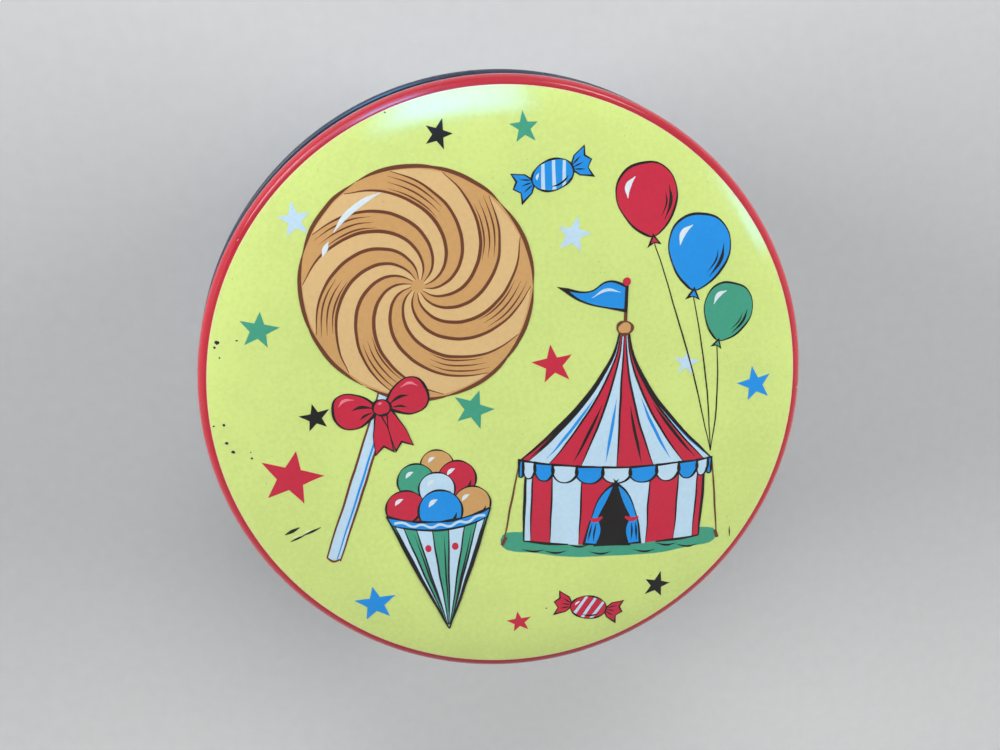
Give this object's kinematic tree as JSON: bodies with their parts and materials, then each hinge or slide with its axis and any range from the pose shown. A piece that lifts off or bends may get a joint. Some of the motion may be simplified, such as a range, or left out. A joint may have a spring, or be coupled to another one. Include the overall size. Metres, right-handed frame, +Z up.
{
  "type": "round slip-lid tin",
  "caption": "Shallow round box of printed tinplate with a domed lift-off lid, a rolled hem and a double-seamed base, for sweets or keepsakes.",
  "frame": {"origin": "centre of the tin's underside, in the plane of the foot ring it rests on", "axes": "+Z up through the lid along the tin's axis; +Y towards the top of the picture on the lid; the side seam is beside -Y"},
  "size_m": [0.152, 0.152, 0.051],
  "materials": {
    "lid_print": "glossy varnished print, yellow-green panel with a red edge",
    "wall_lacquer": "glossy dark blue lacquer",
    "base_tinplate": "bare tinplate, dulled with age"
  },
  "bodies": {
    "tin": {"body_wall": "wall_lacquer", "base_end": "base_tinplate"},
    "lid": {"lid": "lid_print"}
  },
  "joints": [
    {"name": "lid_lift", "type": "slide", "parent": "tin", "child": "lid", "axis": [0, 0, 1], "range_m": [0, 0.07]}
  ]
}
